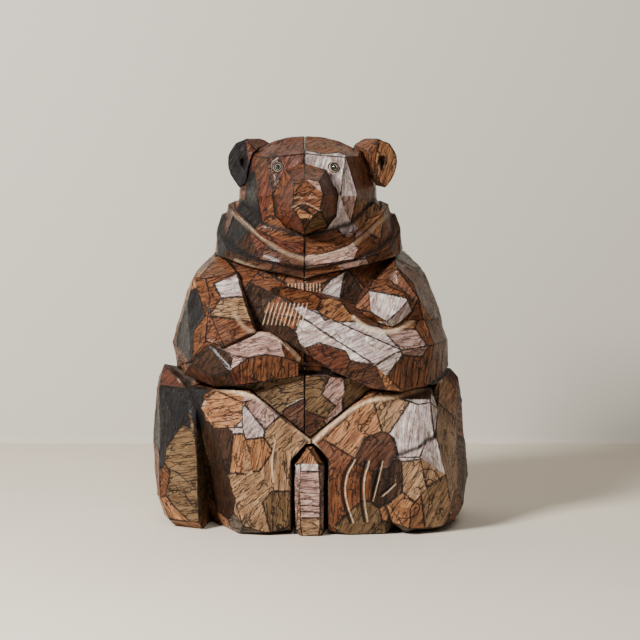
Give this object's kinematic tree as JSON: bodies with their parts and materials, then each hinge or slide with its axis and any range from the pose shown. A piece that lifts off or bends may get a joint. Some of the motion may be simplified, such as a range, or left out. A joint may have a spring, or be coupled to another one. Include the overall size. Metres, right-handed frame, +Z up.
{
  "type": "carved wooden figurine",
  "caption": "Seated bear figurine with crossed arms, carved in flat knife facets from glued and dowelled hardwood blocks, with ring-set eyes.",
  "frame": {"origin": "on the table under the middle of the base", "axes": "+Z up; the figure looks along -Y; the figure's right side lies at -X"},
  "size_m": [0.207, 0.156, 0.25],
  "materials": {
    "wood_red": "dark stained and lacquered, knife facets",
    "wood_warm": "warm stained and lacquered, knife facets",
    "wood_dark": "darkest stain, lacquered",
    "wood_pale": "thin stain, burnished",
    "dowel_beech": "bare beech",
    "brass": "turned, dulled",
    "glass_bead": "black glass, glossy"
  },
  "bodies": {
    "root": {"head_right": "wood_red", "head_left": "wood_warm", "muzzle": "wood_dark", "ear_right": "wood_red", "ear_left": "wood_red", "eye_ring_right": "brass", "eye_ring_left": "brass", "eye_bead_right": "glass_bead", "eye_bead_left": "glass_bead", "ruff_right": "wood_red", "ruff_left": "wood_warm", "torso_right": "wood_red", "torso_left": "wood_warm", "upper_arm_right": "wood_dark", "upper_arm_left": "wood_warm", "forearm_right": "wood_red", "forearm_left": "wood_red", "hand_right": "wood_pale", "haunch_right": "wood_warm", "haunch_left": "wood_warm", "tongue": "wood_pale", "ear_dowels": "dowel_beech", "muzzle_dowels": "dowel_beech", "neck_dowels": "dowel_beech", "seam_dowels": "dowel_beech", "arm_dowels": "dowel_beech", "chest_dowels": "dowel_beech", "hip_dowels": "dowel_beech"}
  },
  "joints": []
}
